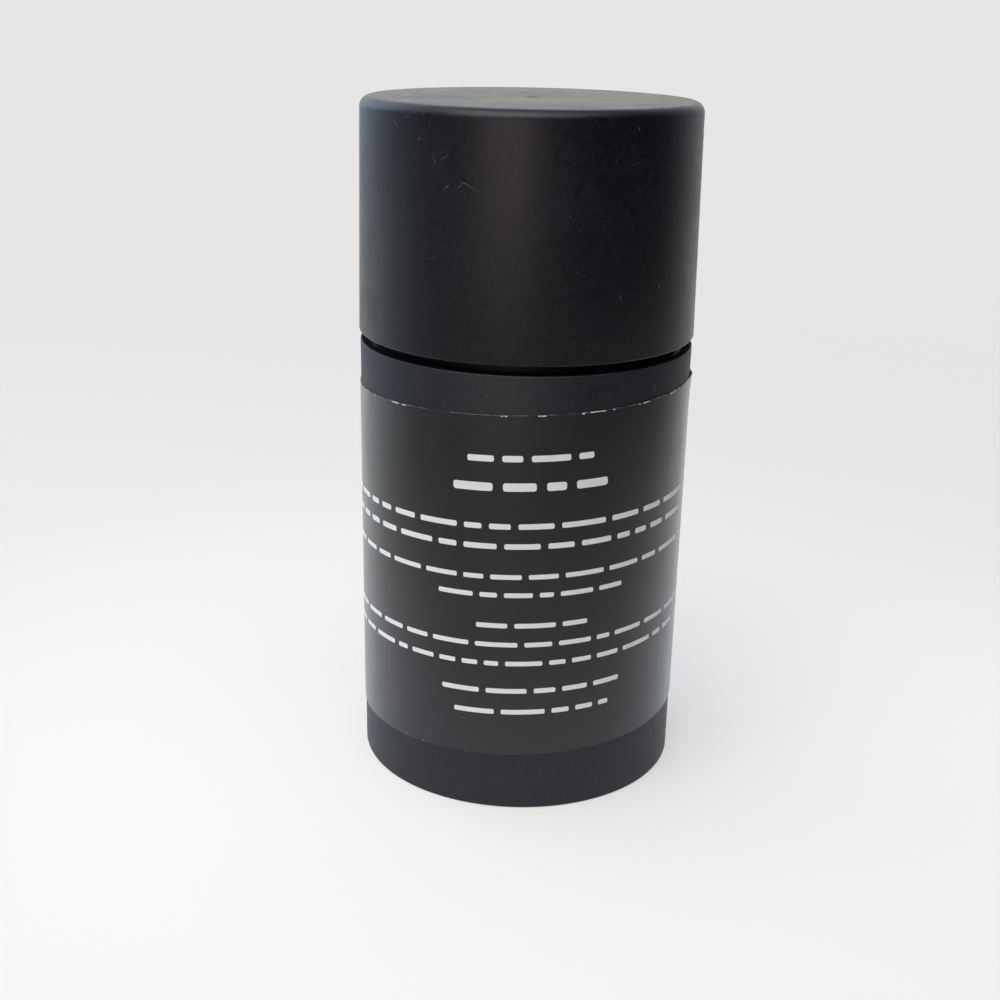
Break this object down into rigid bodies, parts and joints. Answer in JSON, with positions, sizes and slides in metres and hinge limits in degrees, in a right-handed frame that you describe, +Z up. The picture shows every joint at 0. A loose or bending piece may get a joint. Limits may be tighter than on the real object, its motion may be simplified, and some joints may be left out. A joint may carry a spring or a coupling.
{
  "type": "twist-up deodorant stick",
  "caption": "Round black twist-up stick pack with a straight pull-off cap, a skewed wrap label, a recessed dial in its foot and a screw that lifts the solid gel.",
  "frame": {"origin": "centre of the circle on which the sleeve's foot stands", "axes": "+Z up along the pack's axis, -Y towards the middle of the label's front, +X to the right of someone reading it"},
  "size_m": [0.0504, 0.0504, 0.102],
  "materials": {
    "satin_black_plastic": "satin moulded plastic with a fine spark-eroded grain",
    "gloss_black_plastic": "smooth glossy moulded plastic",
    "label_film": "satin printed film, charcoal with pale print, white where its edge is chipped",
    "natural_plastic": "unpigmented milky moulded plastic",
    "gel": "smooth translucent waxy gel",
    "seal_rubber": "matt moulded rubber",
    "dial_black_plastic": "satin moulded plastic"
  },
  "bodies": {
    "barrel": {"outer_sleeve": "satin_black_plastic", "inner_barrel": "gloss_black_plastic", "label": "label_film"},
    "dial": {"dial": "dial_black_plastic", "spindle": "natural_plastic", "spindle_seal": "seal_rubber"},
    "elevator": {"elevator_cup": "natural_plastic", "gel_stick": "gel", "factory_seal": "natural_plastic"},
    "cap": {"cap_shell": "satin_black_plastic", "cap_liner": "gloss_black_plastic"}
  },
  "joints": [
    {"name": "elevator_rise", "type": "slide", "parent": "barrel", "child": "elevator", "axis": [0, 0, 1], "range_m": [0, 0.0495]},
    {"name": "dial_turn", "type": "hinge", "parent": "barrel", "child": "dial", "pos_m": [0, 0, 0.005], "axis": [0, 0, 1], "range_deg": [0, 3961]},
    {"name": "cap_lift", "type": "slide", "parent": "elevator", "child": "cap", "axis": [0, 0, 1], "range_m": [0, 0.045]}
  ],
  "couplings": [
    {"joint": "dial_turn", "follows": "elevator_rise", "rad_per_m": 1396.3}
  ]
}
